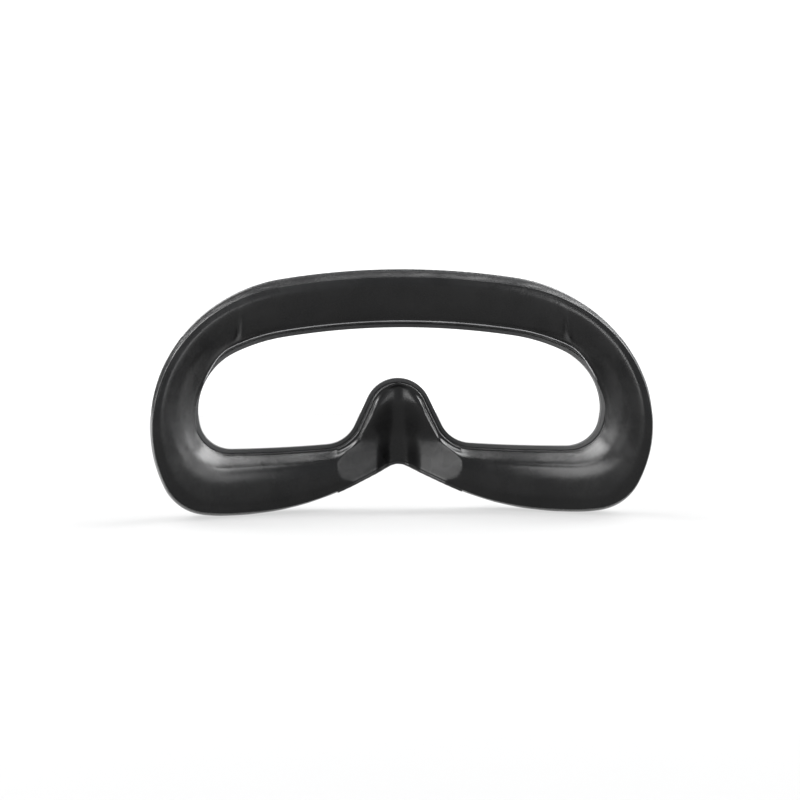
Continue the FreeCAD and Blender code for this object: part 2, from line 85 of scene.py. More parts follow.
class Outline:
    """Right half of a closed outline, from the top middle to the middle over the nose."""

    def __init__(self, name, grow=0.0):
        top, bridge, arcs = OUTLINES[name]
        self.pieces = []
        self.point, self.heading = (0.0, top + grow), 0.0
        for radius, turn in arcs:
            self.extend((radius + grow) * math.radians(turn), -1 / (radius + grow))
        bridge -= grow
        climb = -self.heading - math.pi
        run = (self.point[0] - bridge * math.sin(climb)) / math.cos(climb)
        self.extend(run, 0.0)
        self.extend(bridge * climb, 1 / bridge)
        self.length = sum(piece[2] for piece in self.pieces)

    def extend(self, length, curvature):
        self.pieces.append((self.point, self.heading, length, curvature))
        self.point, self.heading = self.along(self.pieces[-1], length)

    @staticmethod
    def along(piece, distance):
        (x, z), heading, _, curvature = piece
        if curvature == 0:
            return (x + distance * math.cos(heading), z + distance * math.sin(heading)), heading
        turned = heading + curvature * distance
        return (x + (math.sin(turned) - math.sin(heading)) / curvature,
                z + (math.cos(heading) - math.cos(turned)) / curvature), turned

    def at(self, distance):
        for piece in self.pieces:
            if distance <= piece[2]:
                return self.along(piece, distance)
            distance -= piece[2]
        return self.along(self.pieces[-1], self.pieces[-1][2])

    def where(self, reached):
        low, high = 0.0, self.length
        while high - low > 1e-5:
            middle = (low + high) / 2
            if reached(*self.at(middle)):
                high = middle
            else:
                low = middle
        return high

    def at_heading(self, heading):
        return self.at(self.where(lambda point, turned: turned <= heading))

    def under_at(self, x):
        return self.at(self.where(lambda point, turned: turned < -math.pi and point[0] <= x))


def heads_back(point, heading):
    """True once an outline has passed its lowest point."""
    return heading < -math.pi


def layer_y(x, offset=0.0):
    """Y of a layer of the stack; a height above the goggles' face is a negative offset."""
    return PLAN_CENTRE_Y + np.sqrt((WRAP_RADIUS + offset) ** 2 - np.asarray(x, float) ** 2)


def crest_height(x):
    """Thickness of the cushion at its crest."""
    sweep = CREST_RADIUS - np.sqrt(CREST_RADIUS ** 2 - np.asarray(x, float) ** 2)
    return layer_y(x) - (INTERFACE_Y - BROW_HEIGHT - sweep)


def smooth_step(low, high, value):
    part = np.clip((np.asarray(value, float) - low) / (high - low), 0, 1)
    return part * part * (3 - 2 * part)


def bell(value, centre, width):
    return np.exp(-((np.asarray(value, float) - centre) / width) ** 2)


def monotone(xs, ys, at):
    """A smooth curve through a few points that never overshoots them."""
    xs, ys = np.asarray(xs, float), np.asarray(ys, float)
    step, rise = np.diff(xs), np.diff(ys)
    slope = rise / step
    tangent = np.zeros(len(xs))
    for n in range(1, len(xs) - 1):
        if slope[n - 1] * slope[n] > 0:
            wide, narrow = 2 * step[n] + step[n - 1], step[n] + 2 * step[n - 1]
            tangent[n] = (wide + narrow) / (wide / slope[n - 1] + narrow / slope[n])
    tangent[0], tangent[-1] = slope[0], slope[-1]
    n = np.clip(np.searchsorted(xs, at, side="right") - 1, 0, len(step) - 1)
    t = (at - xs[n]) / step[n]
    return ((1 + 2 * t) * (1 - t) ** 2 * ys[n] + t * (1 - t) ** 2 * step[n] * tangent[n]
            + t * t * (3 - 2 * t) * ys[n + 1] + t * t * (t - 1) * step[n] * tangent[n + 1])


# ---------------------------------------------------------------- lines across the cushion

OUTER = Outline("outline")
INNER = Outline("opening", LIP_ROOM)
UNDER = OUTER.where(heads_back)
OUTER_END = OUTER.where(lambda point, heading: heading < -math.pi and point[0] <= FLAP_END)
INNER_UNDER_X = INNER.at_heading(-math.pi)[0][0]
OUTER_UNDER_X = OUTER.at(UNDER)[0][0]
FOOT_REACH = 22
WALL_SETBACK = 0.4


class Line:
    """A line across the cushion, from a point of the outline to a point of the inner edge."""

    def __init__(self, outer, inner, inner_heading, side, turn, distance):
        self.outer = np.array([side * outer[0], outer[1]])
        self.inner = np.array([side * inner[0], inner[1]])
        self.across = self.inner - self.outer
        self.width = float(np.hypot(*self.across))
        self.across /= self.width
        self.normal = np.array([side * math.sin(inner_heading), -math.cos(inner_heading)])
        self.square = max(float(self.across @ self.normal), 0.3)
        self.turn = turn
        self.distance = distance
        foot = 1.0 if distance > UNDER else math.exp(-((distance - UNDER) / FOOT_REACH) ** 2)
        self.wall = WALL_SETBACK * (1 - foot)


def cushion_line(part, side):
    distance = part * OUTER_END
    outer, heading = OUTER.at(distance)
    if distance <= UNDER:
        inner, inner_heading = INNER.at_heading(heading)
    else:
        along = (OUTER_UNDER_X - outer[0]) / (OUTER_UNDER_X - FLAP_END)
        inner, inner_heading = INNER.under_at(INNER_UNDER_X + along * (FLAP_END - INNER_UNDER_X))
    return Line(outer, inner, inner_heading, side, math.degrees(-heading), distance)


def flap_line(x):
    outer, heading = OUTER.under_at(abs(x))
    inner, inner_heading = INNER.under_at(abs(x))
    side = 1 if x >= 0 else -1
    return Line((abs(x), outer[1]), (abs(x), inner[1]), inner_heading, side,
                math.degrees(-heading), OUTER_END + FLAP_END - abs(x))


cushion_lines = ([cushion_line(n / STATIONS, -1) for n in range(STATIONS, 0, -1)]
                 + [cushion_line(n / STATIONS, 1) for n in range(STATIONS + 1)])
flap_lines = [flap_line(FLAP_END * n / FLAP_COLUMNS * 2 - FLAP_END)
              for n in range(FLAP_COLUMNS + 1)]

# The face in section by where it is round the pad: (turn of the outline, three points as
# fractions of the width and of the crest, height of the inner edge as a fraction of the crest).
SECTIONS = [
    (0, 0.94, (0.26, 1.00), (0.56, 0.89), (0.82, 0.72), 0.57),
    (35, 0.92, (0.28, 1.00), (0.58, 0.91), (0.82, 0.73), 0.55),
    (80, 0.86, (0.34, 1.00), (0.60, 0.94), (0.82, 0.76), 0.50),
    (125, 0.84, (0.36, 0.99), (0.57, 0.99), (0.78, 0.88), 0.44),
    (165, 0.84, (0.26, 0.975), (0.55, 1.00), (0.76, 0.945), 0.46),
    (205, 0.84, (0.26, 0.975), (0.55, 1.00), (0.77, 0.93), 0.48),
]
SECTION_TABLE = np.array([[t, s, *a, *b, *c, e] for t, s, a, b, c, e in SECTIONS])
# How far the leather swells over the lip, as (turn of the outline, swell).
SWELLS = [(0, 0.0), (28, 0.15), (52, 1.9), (66, 2.35), (90, 1.9), (130, 1.3), (165, 0.9),
          (205, 0.4)]
LAST_TURN = 205.0
SEAM_SHARE = 0.145
SEAM_NEAR_NOSE = 1.2
WRAP = 1.8


def section_at(line):
    """Height at the seam, three points and height at the inner edge, for one line."""
    turn = min(line.turn, LAST_TURN)
    return [float(monotone(SECTION_TABLE[:, 0], column, turn)) for column in SECTION_TABLE.T[1:]]


def nose_share(line):
    """0 round the cheeks, rising to 1 where the cushion meets the nose flap."""
    return float(smooth_step(UNDER - 5, OUTER_END - 8, line.distance))


def seam_place(line):
    """Distance and height of the seam between the side panel and the face panel."""
    x = line.outer[0] + line.across[0] * line.wall
    near = nose_share(line)
    foot = 1.2 * float(bell(line.distance, UNDER, 30))
    distance = line.wall + SEAM_SHARE * line.width - foot
    return distance * (1 - near) + SEAM_NEAR_NOSE * near, section_at(line)[0] * crest_height(x)


def seam_drop(line):
    """How far the face panel wraps down at its seam, on the sides and the lower half."""
    return WRAP * float(smooth_step(65, 120, line.turn)) * (1 - nose_share(line))


def bulge(line):
    """How far the leather swells towards the eyes, over the lip."""
    turns, swells = zip(*SWELLS)
    return float(monotone(turns, swells, min(line.turn, LAST_TURN)))


def panel_end(line):
    """Distance of the face panel's inner edge, before it rolls under."""
    return line.width - (INNER_GAP + BEAD) / line.square + bulge(line)


def face_base(line, d):
    """Height of the face panel over the distances d, without its rolled edge."""
    start, start_height = seam_place(line)
    _, a, ra, b, rb, c, rc, edge = section_at(line)
    end = panel_end(line)
    x = line.outer[0] + line.across[0] * d
    knots = [start, a * line.width, b * line.width, c * line.width, end]
    rises = [start_height / crest_height(line.outer[0] + line.across[0] * start), ra, rb, rc,
             edge]
    step, margin, reach = 0.1, 30, 24
    fine = np.arange(start - 3, end + 3, step)
    rough = monotone(knots, rises, np.clip(fine, start, end))
    first_slope = (rough[margin + 1] - rough[margin]) / step
    last_slope = (rough[-margin - 1] - rough[-margin - 2]) / step
    rough += np.minimum(fine - start, 0) * first_slope + np.maximum(fine - end, 0) * last_slope
    kernel = np.exp(-(np.arange(-reach, reach + 1) / 10) ** 2 / 1.1)
    soft = np.convolve(np.pad(rough, reach, mode="edge"), kernel / kernel.sum(), mode="valid")
    return np.interp(d, fine, soft) * crest_height(x)


def face_span(line):
    """Distances across the face panel, close together along both of its edges."""
    start = seam_place(line)[0]
    end = panel_end(line)
    first, last = 1.2, 2.4 / line.square
    near = start + first * np.linspace(0, 1, 7)
    far = end - last * np.linspace(1, 0, 16)
    middle = np.linspace(near[-1], far[0], 42)[1:-1]
    return np.concatenate([near, middle, far])


def waves(x, z):
    """Slow unevenness of stretched leather over foam."""
    return (0.040 * np.sin(x / 5.3 + 0.6 * np.sin(z / 7.1)) * np.sin(z / 6.4 + 1.3)
            + 0.018 * np.sin(x / 2.9 + z / 4.1 + 0.7) + 0.014 * np.sin(z / 2.3 - x / 3.7))


def pleats(line, d):
    """Soft wrinkles that run out from the inner edge at the upper corners."""
    x = line.outer[0] + line.across[0] * d
    z = line.outer[1] + line.across[1] * d
    lean = 0.12
    left = bell(x + 54.3 - lean * (z - 60), 0, 0.85) * bell(z, 61.5, 5.0)
    right = bell(x - 56.6 + lean * (z - 58), 0, 0.95) * bell(z, 60.0, 5.0)
    below = bell(line.distance, 133, 2.5) * bell(d / line.width, 0.8, 0.2)
    return 1.5 * left + 1.3 * right - 0.12 * below


# ---------------------------------------------------------------- nose

FOLD_DEPTH = 4.85
FOLD_SIDES = 0.74
FACET_TURN = 0.28
ARCH_HEIGHT = 5.1


def soft_ramp(value, room):
    """The value where it is positive and 0 where it is negative, rounded over the room."""
    return (value + np.sqrt(value * value + room * room)) / 2


def nose_channel(x, z):
    """Height of the flap's folded channel, as an endless surface."""
    x = np.abs(x)
    valley = 0.05 * (z - 24) + 0.40 * soft_ramp(z - 26, 2.5)
    valley = valley - soft_ramp(valley - FOLD_DEPTH, 0.5)
    half = 2.2 - 1.0 * smooth_step(17, 42, z)
    turn_x = 5.8 + 1.33 * soft_ramp(z - 25.5, 1.5)
    flare = 0.2 * soft_ramp(25 - z, 2.0) * smooth_step(3.0, 8.0, x)
    return (valley + FOLD_SIDES * (soft_ramp(x - half, 1.1) - soft_ramp(-half, 1.1))
            - FACET_TURN * soft_ramp(x - turn_x, 1.2) + flare)


def flap_base(line, d):
    """Height over the nose: the cushion's face, cut by the channel with a crease between them."""
    x = np.full_like(d, line.outer[0])
    z = line.outer[1] + line.across[1] * d
    cushion = face_base(line, d)
    channel = nose_channel(x, z)
    room = 0.25 + 3.2 * smooth_step(19, 29, z)
    away = cushion - channel
    joined = (cushion + channel - np.sqrt(away * away + room * room)) / 2
    free = smooth_step(0.0, 1.5, (d[-1] - d) * line.square) if len(d) > 1 else 1.0
    arch = ARCH_HEIGHT + 0.6 * smooth_step(10, 21, np.abs(x))
    return joined * free + np.minimum(cushion, arch) * (1 - free)


# ---------------------------------------------------------------- surfaces

def edge_hollow(line, d):
    """A shallow hollow beside the rolled edge."""
    return 0.06 * bell((d[-1] - d) * line.square, 0.75, 0.35)


def curl(direction, point, height, radius, steps, start=0.0, drop=0.0):
    """The edge of a panel rolled under from a start angle, with a steep wall of drop mm in it."""
    rows = []
    for n in range(1, steps + 1):
        angle = start + (math.radians(CURL_TURN) - start) * n / steps
        down = drop if angle > math.radians(STEEP) else 0.0
        out = radius * (math.sin(angle) - math.sin(start)) + WALL_SLOPE * down
        place = point + direction * out
        rows.append((place[0], place[1],
                     height - radius * (math.cos(start) - math.cos(angle)) - down))
    return rows


def to_points(rows):
    """(x, z, height) to (x, y, z)."""
    rows = np.array(rows)
    return np.column_stack([rows[:, 0], layer_y(rows[:, 0]) - rows[:, 2], rows[:, 1]])


def panel_rows(line, base):
    """Points of a face or flap panel along one line, from the seam to the inner edge."""
    d = face_span(line)
    height = base(line, d) - edge_hollow(line, d)
    places = line.outer[None, :] + line.across[None, :] * d[:, None]
    window = smooth_step(0.3, 3.0, d - d[0]) * smooth_step(0.6, 3.0, (d[-1] - d) * line.square)
    height = height + (waves(places[:, 0], places[:, 1]) + pleats(line, d)) * window
    height = height + 0.07 * bell(d - d[0], 0.35, 0.3)
    rows = curl(-line.across, places[0], height[0], SEAM_BEAD, SEAM_STEPS,
                drop=seam_drop(line))[::-1]
    rows += [(p[0], p[1], h) for p, h in zip(places, height)]
    fall = math.atan2(height[-2] - height[-1], (d[-1] - d[-2]) * line.square)
    start = min(max(fall - math.radians(22), 0.0), math.radians(60))
    return rows + curl(line.normal, places[-1], height[-1], BEAD, BEAD_STEPS, start)


def thicken(outer, depth):
    """The inner side of a grid of points, moved in along the grid's own normals."""
    along = np.gradient(outer, axis=0)
    across = np.gradient(outer, axis=1)
    normal = np.cross(along, across)
    normal /= np.linalg.norm(normal, axis=2, keepdims=True) + 1e-9
    middle = normal[normal.shape[0] // 2, normal.shape[1] // 2]
    if middle[1] < 0:
        normal = -normal
    count = outer.shape[1]
    share = np.minimum(np.arange(count), np.arange(count)[::-1]) / 12
    depths = EDGE_LEATHER + (depth - EDGE_LEATHER) * np.clip(share, 0, 1)
    return outer + normal * depths[None, :, None]


def closed_loops(outer, depth):
    """Thin closed sections, out along the panel and back along its inner side."""
    return np.concatenate([outer, thicken(outer, depth)[:, ::-1]], axis=1)


def loft(name, sections, closed, material, body, slot, replaced, sharp=35):
    """A closed mesh through closed sections of the same count of points, in millimetres."""
    rings, count, _ = sections.shape
    verts = (sections.reshape(-1, 3) * MM).tolist()
    faces = []
    for ring in range(rings if closed else rings - 1):
        a, b = ring * count, (ring + 1) % rings * count
        faces += [(a + n, a + (n + 1) % count, b + (n + 1) % count, b + n)
                  for n in range(count)]
    if not closed:
        for start in (0, (rings - 1) * count):
            for n in range(count // 2 - 1):
                quad = (start + n, start + n + 1, start + count - 2 - n, start + count - 1 - n)
                faces.append(quad if start else quad[::-1])
            if count % 2:
                middle = count // 2
                faces.append((start + middle - 1, start + middle, start + middle + 1))
    mesh = bpy.data.meshes.new(name)
    mesh.from_pydata(verts, [], faces)
    return place(name, mesh, material, body, slot, replaced, sharp)


def place(name, mesh, material, body, slot, replaced, sharp=35):
    """Makes an object of a mesh: faces outwards, shaded smooth, riding on its body."""
    work = bmesh.new()
    work.from_mesh(mesh)
    bmesh.ops.recalc_face_normals(work, faces=work.faces)
    if work.calc_volume(signed=True) < 0:
        bmesh.ops.reverse_faces(work, faces=work.faces)
    work.to_mesh(mesh)
    work.free()
    mesh.polygons.foreach_set("use_smooth", [True] * len(mesh.polygons))
    mesh.set_sharp_from_angle(angle=math.radians(sharp))
    mesh.materials.append(material)
    piece = bpy.data.objects.new(name, mesh)
    bpy.context.scene.collection.objects.link(piece)
    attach(piece, body)
    if replaced:
        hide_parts(*replaced)
    return piece


# ---------------------------------------------------------------- materials

class Nodes:
    """A material's node tree, with short ways to add nodes and links."""

    def __init__(self, name):
        self.material = bpy.data.materials.new(name)
        self.material.use_nodes = True
        self.tree = self.material.node_tree
        self.shader = self.tree.nodes["Principled BSDF"]
        self.place = self.add("ShaderNodeTexCoord").outputs["Object"]

    def add(self, kind, **values):
        node = self.tree.nodes.new(kind)
        for key, value in values.items():
            if key in node.inputs:
                node.inputs[key].default_value = value
            else:
                setattr(node, key, value)
        return node

    def link(self, output, target):
        self.tree.links.new(output, target)
        return output

    def noise(self, size, detail=3.0, rough=0.5):
        node = self.add("ShaderNodeTexNoise")
        node.inputs["Scale"].default_value = 1 / size
        node.inputs["Detail"].default_value = detail
        node.inputs["Roughness"].default_value = rough
        self.link(self.place, node.inputs["Vector"])
        return node.outputs["Fac"]

    def cells(self, size, feature="F1"):
        node = self.add("ShaderNodeTexVoronoi", feature=feature)
        node.inputs["Scale"].default_value = 1 / size
        self.link(self.place, node.inputs["Vector"])
        return node.outputs["Distance"]

    def remap(self, value, low, high, to_low, to_high):
        node = self.add("ShaderNodeMapRange")
        for key, number in (("From Min", low), ("From Max", high), ("To Min", to_low),
                            ("To Max", to_high)):
            node.inputs[key].default_value = number
        self.link(value, node.inputs["Value"])
        return node.outputs["Result"]

    def colours(self, value, first, second):
        node = self.add("ShaderNodeMix", data_type="RGBA")
        node.inputs[6].default_value = (*first, 1)
        node.inputs[7].default_value = (*second, 1)
        self.link(value, node.inputs[0])
        return node.outputs[2]

    def maths(self, kind, first, second):
        node = self.add("ShaderNodeMath", operation=kind)
        for slot, value in enumerate((first, second)):
            if isinstance(value, (int, float)):
                node.inputs[slot].default_value = value
            else:
                self.link(value, node.inputs[slot])
        return node.outputs[0]

    def bump(self, height, depth, strength=1.0, under=None):
        node = self.add("ShaderNodeBump")
        node.inputs["Distance"].default_value = depth
        node.inputs["Strength"].default_value = strength
        self.link(height, node.inputs["Height"])
        if under is not None:
            self.link(under, node.inputs["Normal"])
        return node.outputs["Normal"]

    def finish(self, colour, rough, normal, specular=0.5, sheen=0.0):
        self.link(colour, self.shader.inputs["Base Color"])
        self.link(rough, self.shader.inputs["Roughness"])
        self.link(normal, self.shader.inputs["Normal"])
        self.shader.inputs["Specular IOR Level"].default_value = specular
        if sheen:
            self.shader.inputs["Sheen Weight"].default_value = sheen
            self.shader.inputs["Sheen Roughness"].default_value = 0.6
        return self.material


def leather(name, tone, rough, specular, grain=0.00034, depth=0.000035):
    """Synthetic leather: fine pebbled grain, soft unevenness and slightly polished high spots."""
    nodes = Nodes(name)
    patches = nodes.noise(0.009, 2.0)
    pebble = nodes.cells(grain, "SMOOTH_F1")
    fine = nodes.noise(0.00012, 2.0)
    colour = nodes.colours(nodes.remap(patches, 0.3, 0.7, 0, 1),
                           [tone * 0.8] * 2 + [tone * 0.82], [tone * 1.2] * 2 + [tone * 1.22])
    gloss = nodes.maths("ADD", nodes.remap(patches, 0.3, 0.7, rough - 0.03, rough + 0.04),
                        nodes.remap(fine, 0.3, 0.7, -0.03, 0.03))
    soft = nodes.bump(nodes.noise(0.0035, 3.0), 0.00006, 0.7)
    normal = nodes.bump(pebble, depth, 0.8, soft)
    normal = nodes.bump(fine, 0.00001, 0.5, normal)
    return nodes.finish(colour, gloss, normal, specular)


def fabric(name, tone, pitch, sheen=0.3, fuzz=0.00003):
    """Knitted or woven cloth: two crossed waves of yarn over soft fuzz."""
    nodes = Nodes(name)
    yarn = []
    for axis in ("X", "Z"):
        wave = nodes.add("ShaderNodeTexWave", wave_type="BANDS", bands_direction=axis)
        wave.inputs["Scale"].default_value = 1 / pitch / math.tau * 2
        wave.inputs["Distortion"].default_value = 1.5
        wave.inputs["Detail"].default_value = 2.0
        nodes.link(nodes.place, wave.inputs["Vector"])
        yarn.append(wave.outputs["Fac"])
    weave = nodes.maths("MULTIPLY", *yarn)
    hair = nodes.noise(0.00025, 4.0, 0.7)
    colour = nodes.colours(nodes.maths("MULTIPLY", weave, hair), [tone * 0.6] * 3, [tone * 1.9] * 3)
    normal = nodes.bump(weave, 0.00006, 0.8)
    normal = nodes.bump(hair, fuzz, 0.9, normal)
    return nodes.finish(colour, nodes.remap(hair, 0.3, 0.7, 0.82, 0.98), normal, 0.25, sheen)


def foam(name, tone, cell):
    """Open foam: dark pores in a soft skin."""
    nodes = Nodes(name)
    pores = nodes.cells(cell)
    cloud = nodes.noise(0.004, 3.0)
    colour = nodes.colours(nodes.remap(pores, 0.1, 0.6, 0, 1), [tone * 0.45] * 3, [tone * 1.3] * 3)
    normal = nodes.bump(pores, 0.00018, 0.9, nodes.bump(cloud, 0.0002, 0.5))
    return nodes.finish(colour, nodes.remap(cloud, 0.3, 0.7, 0.88, 0.98), normal, 0.2, 0.15)


def plastic(name, tone, rough, spark, depth=0.00002):
    """Moulded plastic with an etched texture, faint flow clouds and rubbed spots."""
    nodes = Nodes(name)
    etched = nodes.noise(spark, 3.0, 0.6)
    cloud = nodes.noise(0.018, 3.0)
    rubbed = nodes.noise(0.004, 5.0, 0.65)
    colour = nodes.colours(nodes.remap(cloud, 0.3, 0.7, 0, 1), [tone * 0.85] * 3,
                           [tone * 1.15, tone * 1.15, tone * 1.2])
    gloss = nodes.maths("ADD", nodes.remap(rubbed, 0.35, 0.65, rough + 0.05, rough - 0.06),
                        nodes.remap(etched, 0.3, 0.7, -0.03, 0.03))
    return nodes.finish(colour, gloss, nodes.bump(etched, depth, 0.9), 0.45)


pad_leather = leather("pad_leather", 0.0055, 0.27, 0.20)
side_leather = leather("side_leather", 0.0055, 0.24, 0.20)
flap_leather = leather("flap_leather", 0.0055, 0.27, 0.20)
hem_leather = leather("hem_leather", 0.008, 0.26, 0.35, grain=0.0003)
lip_leather = leather("lip_leather", 0.006, 0.18, 0.3)
# Pale leather for the brow's rolled inner edge: a painted highlight, not the leather's own colour.
painted_highlight_leather = leather("painted_highlight_leather", 0.24, 0.3, 0.3)
lining_cloth = fabric("lining_cloth", 0.012, 0.0005, sheen=0.1)
loop_cloth = fabric("loop_cloth", 0.024, 0.0004, sheen=0.5, fuzz=0.00012)
hook_cloth = fabric("hook_cloth", 0.016, 0.0006, sheen=0.1)
seal_foam = foam("seal_foam", 0.035, 0.0009)
core_foam = foam("core_foam", 0.11, 0.0012)
carrier_plastic = plastic("carrier_plastic", 0.022, 0.46, 0.00025)
board_plastic = plastic("board_plastic", 0.045, 0.6, 0.0004)
latch_plastic = plastic("latch_plastic", 0.018, 0.33, 0.0005, 0.00001)


# ---------------------------------------------------------------- cushion pieces

def paint_edge_highlight(panel, lines, columns):
    """The brow's rolled inner edge gets pale leather as a painted highlight, and the pale line
    thins out at the corners.
    """
    panel.data.materials.append(painted_highlight_leather)
    for number, line in enumerate(lines[:-1]):
        first = number * columns * 2 + columns - BEAD_STEPS - 1
        shown = 1 - float(smooth_step(44, 66, line.turn))
        for step in range(round(PAINTED_HIGHLIGHT_STEPS * shown)):
            panel.data.polygons[first + step].material_index = 1


face_grid = np.array([to_points(panel_rows(line, face_base)) for line in cushion_lines])
flap_grid = np.array([to_points(panel_rows(line, flap_base)) for line in flap_lines])
face_panel = loft("face_panel", closed_loops(face_grid, LEATHER), False, pad_leather,
                  "cushion", "leather", ["face_leather"], PANEL_SMOOTH)
# The brow's rolled inner edge gets its painted highlight.
paint_edge_highlight(face_panel, cushion_lines, face_grid.shape[1])
nose_panel = loft("nose_panel", closed_loops(flap_grid, LEATHER), False, flap_leather,
                  "cushion", "flap_leather", ["nose_flap"], PANEL_SMOOTH)


def side_rows(line):
    """Side panel: from over the welt up a slightly swollen wall to the seam."""
    seam, seam_height = seam_place(line)
    drop = seam_drop(line)
    top = seam_height - 0.5 - 0.9 * drop
    knots = np.array([WELT_TOP, WELT_TOP + 0.45 * (top - WELT_TOP), top])
    reach = seam - 0.5 - WALL_SLOPE * drop - line.wall
    spread = np.array([line.wall + 0.05, line.wall + 0.30 * reach, line.wall + reach])
    heights = np.linspace(knots[0], knots[-1], 15)
    distances = monotone(knots, spread, heights)
    swell = 0.25 * np.sin(np.pi * (heights - heights[0]) / (heights[-1] - heights[0]))
    rows = []
    tuck, tuck_steps = 0.3, 5
    for d, h, out in zip(distances, heights, swell):
        ripple = 0.04 * math.sin(line.distance / 2.1 + h) * math.sin(line.distance / 5.7)
        point = line.outer + line.across * max(d - out * min(reach, 1.0) + ripple, 0.05)
        rows.append((point[0], point[1], h))
    for n in range(1, tuck_steps + 1):
        angle = math.radians(140) * n / tuck_steps
        point = line.outer + line.across * (distances[-1] + tuck * (1 - math.cos(angle)))
        rows.append((point[0], point[1], heights[-1] + tuck * math.sin(angle)))
    return to_points(rows)


side_grid = np.array([side_rows(line) for line in cushion_lines])
side_panel = loft("side_panel", closed_loops(side_grid, SIDE_LEATHER), False, side_leather,
                  "cushion", "leather", ["side_leather"], PANEL_SMOOTH)


ROLL_SIDES = 16


def welt_rows(line):
    """Rolled edge: a flattened roll with small gathers."""
    rows = []
    middle, half_width, half_height = 0.78, 0.76, 1.46
    gather = 1 + 0.035 * math.sin(line.distance * 2.6) * math.sin(line.distance / 3.1)
    for n in range(ROLL_SIDES):
        angle = math.tau * n / ROLL_SIDES
        sideways = math.copysign(abs(math.cos(angle)) ** 0.8, math.cos(angle))
        upwards = math.copysign(abs(math.sin(angle)) ** 0.75, math.sin(angle))
        d = middle - half_width * sideways * gather
        h = WELT_MIDDLE + half_height * upwards
        point = line.outer + line.across * max(d, 0.0)
        rows.append((point[0], point[1], h))
    return to_points(rows)


welt = loft("edge_welt", np.array([welt_rows(line) for line in cushion_lines]), False,
            hem_leather, "cushion", "welt_leather", ["outer_welt"])


def lip_lean(line):
    """How far the rolled edge lies back from the inner wall."""
    return max(line.width - 0.55 - float(face_span(line)[-1]), 0.0)


def lining_rows(line):
    """Inner lining: a thin strip from the backing board up into the rolled edge."""
    rows = []
    top = 0.5 * float(crest_height(line.inner[0])) - 0.35
    heights = np.linspace(LINING_FOOT, top, 12)
    start, end = line.width - 0.46 / line.square, line.width - 0.09
    leans = lip_lean(line) * (heights - LINING_FOOT) / (top - LINING_FOOT)
    for h, lean in zip(heights, leans):
        ripple = 0.04 * math.sin(line.distance / 1.9) * math.sin(h * 1.7)
        point = line.outer + line.across * (end + ripple - lean)
        rows.append((point[0], point[1], h))
    for h, lean in zip(heights[::-1], leans[::-1]):
        point = line.outer + line.across * (start - lean)
        rows.append((point[0], point[1], h))
    return to_points(rows)


lining = loft("wall_lining", np.array([lining_rows(line) for line in cushion_lines]), False,
              lip_leather, "cushion", "lining", ["inner_lining"])


def foam_rows(line):
    """Foam core: it fills the cushion under the leather."""
    d = face_span(line)[4:-6:3]
    top = face_base(line, d) - LEATHER - 0.55
    inner = line.width - 0.75 / line.square - lip_lean(line)
    d = np.minimum(d, inner)
    rows = [(d[0] + 0.3, BOARD_FACE)]
    rows += [(d[0] + 0.25, BOARD_FACE + (top[0] - BOARD_FACE) * part) for part in (0.3, 0.6, 0.85)]
    rows += list(zip(d + 0.3, top))
    rows += [(inner, top[-1] * 0.75), (inner, BOARD_FACE)]
    places = [line.outer + line.across * min(a, inner) for a, _ in rows]
    return to_points([(p[0], p[1], h) for p, (_, h) in zip(places, rows)])


core = loft("foam_body", np.array([foam_rows(line) for line in cushion_lines[::4]]), False,
            core_foam, "cushion", "foam", ["foam_core"])


# ---------------------------------------------------------------- nose pieces behind the flap

liner_front = flap_grid[:, 5:-7] + np.array([0, 1.0, 0])
liner_back = liner_front + np.array([0, 0.45, 0])
liner = loft("flap_lining", np.concatenate([liner_front, liner_back[:, ::-1]], axis=1)[::2],
             False, lining_cloth, "cushion", "lining", ["nose_flap_liner"])


def hem_rows(line):
    """Rolled hem under the flap, with the pull of its stitches."""
    seam = face_span(line)[0]
    height = float(flap_base(line, np.array([seam]))[0])
    radius = 0.66 * (1 + 0.04 * math.sin(line.outer[0] * 2.9))
    rows = []
    for n in range(ROLL_SIDES):
        angle = math.tau * n / ROLL_SIDES
        point = line.outer + line.across * (0.68 - radius * math.cos(angle))
        rows.append((point[0], point[1], height - 0.62 + 0.95 * radius * math.sin(angle)))
    return to_points(rows)


hem = loft("flap_hem", np.array([hem_rows(line) for line in flap_lines]), False,
           hem_leather, "cushion", "welt_leather", ["nose_hem"])


# ---------------------------------------------------------------- layers behind the cushion

def ring_pairs(outer_name, outer_grow, inner_grow, count):
    """Matching points of two outlines, all the way round."""
    outer, inner = Outline(outer_name, outer_grow), Outline("opening", inner_grow)
    half = []
    split_outer, split_inner = outer.where(heads_back), inner.where(heads_back)
    for n in range(count + 1):
        distance = outer.length * n / count
        point, heading = outer.at(distance)
        if distance <= split_outer:
            half.append((point, inner.at_heading(heading)[0]))
        else:
            part = (distance - split_outer) / (outer.length - split_outer)
            reached = split_inner + part * (inner.length - split_inner)
            half.append((point, inner.at(reached)[0]))
    left = [((-a[0], a[1]), (-b[0], b[1])) for a, b in half[1:-1]]
    return [(np.array(a), np.array(b)) for a, b in half + left[::-1]]


def layer_ring(name, pairs, profile, material, body, slot, node):
    """A curved ring through a section of (share across, height) points."""
    sections = []
    for number, (a, b) in enumerate(pairs):
        rows = [(*(a + (b - a) * share), height) for share, height in profile(number)]
        sections.append(to_points(rows))
    piece = loft(name, np.array(sections), True, material, body, slot, [node])
    return piece


def loop_profile(number):
    """Brushed loop fabric: a lightly quilted pile on its back."""
    shares = np.linspace(0, 1, 13)
    front = [(s, 1.58) for s in shares]
    back = [(s, 1.04 + 0.05 * math.sin(number * 1.9 + s * 31) ** 2) for s in shares[::-1]]
    return front + back


def seal_profile(number):
    """Foam strip with a rounded back."""
    angles = [math.pi * n / 12 for n in range(13)]
    wobble = 0.03 * math.sin(number * 0.9)
    return [(0.5 - 0.5 * math.cos(a), -2.04 - (1.52 + wobble) * math.sin(a) ** 0.7)
            for a in angles]


